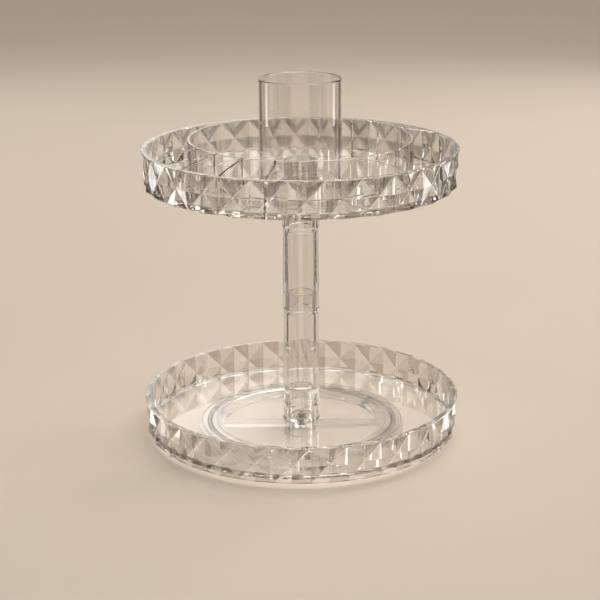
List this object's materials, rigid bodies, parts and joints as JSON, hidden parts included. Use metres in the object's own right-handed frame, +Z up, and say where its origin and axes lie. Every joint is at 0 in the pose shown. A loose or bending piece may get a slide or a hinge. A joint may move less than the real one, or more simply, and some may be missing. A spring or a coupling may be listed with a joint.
{
  "type": "vanity organizer",
  "caption": "Clear tiered rotating vanity organizer: faceted round trays on a push-fit column, with divided compartments, a lift-out brush cup and a ball-bearing base.",
  "frame": {"origin": "on the table, under the pivot", "axes": "+Z up along the pivot; the front of the picture is -Y, +X is to its right"},
  "size_m": [0.2344, 0.2344, 0.267],
  "materials": {
    "clear_tray": "clear glossy moulded plastic with diamond facets",
    "clear_column": "clear glossy moulded plastic",
    "clear_cup": "clear glossy plastic tube",
    "base_plastic": "clear moulded plastic",
    "pad_silicone": "translucent soft silicone",
    "ball_steel": "polished bearing steel",
    "screw_steel": "dull brownish steel",
    "washer_steel": "zinc plated steel"
  },
  "bodies": {
    "base": {"turntable_base": "base_plastic", "foot_pads": "pad_silicone", "pivot_screw": "screw_steel", "pivot_washer": "washer_steel"},
    "bearing": {"ball_cage": "base_plastic", "bearing_balls": "ball_steel"},
    "carousel": {"lower_tray": "clear_tray", "lower_column_tube": "clear_column", "upper_column_tube": "clear_column", "upper_tray": "clear_tray", "hub_cap": "clear_column"},
    "cup": {"brush_cup": "clear_cup"}
  },
  "joints": [
    {"name": "carousel_spin", "type": "hinge", "parent": "base", "child": "carousel", "pos_m": [0, 0, 0], "axis": [0, 0, 1], "continuous": true},
    {"name": "bearing_spin", "type": "hinge", "parent": "base", "child": "bearing", "pos_m": [0, 0, 0], "axis": [0, 0, 1], "continuous": true},
    {"name": "cup_lift", "type": "slide", "parent": "carousel", "child": "cup", "axis": [0, 0, 1], "range_m": [0, 0.085]}
  ],
  "couplings": [
    {"joint": "bearing_spin", "follows": "carousel_spin", "ratio": 0.5}
  ]
}
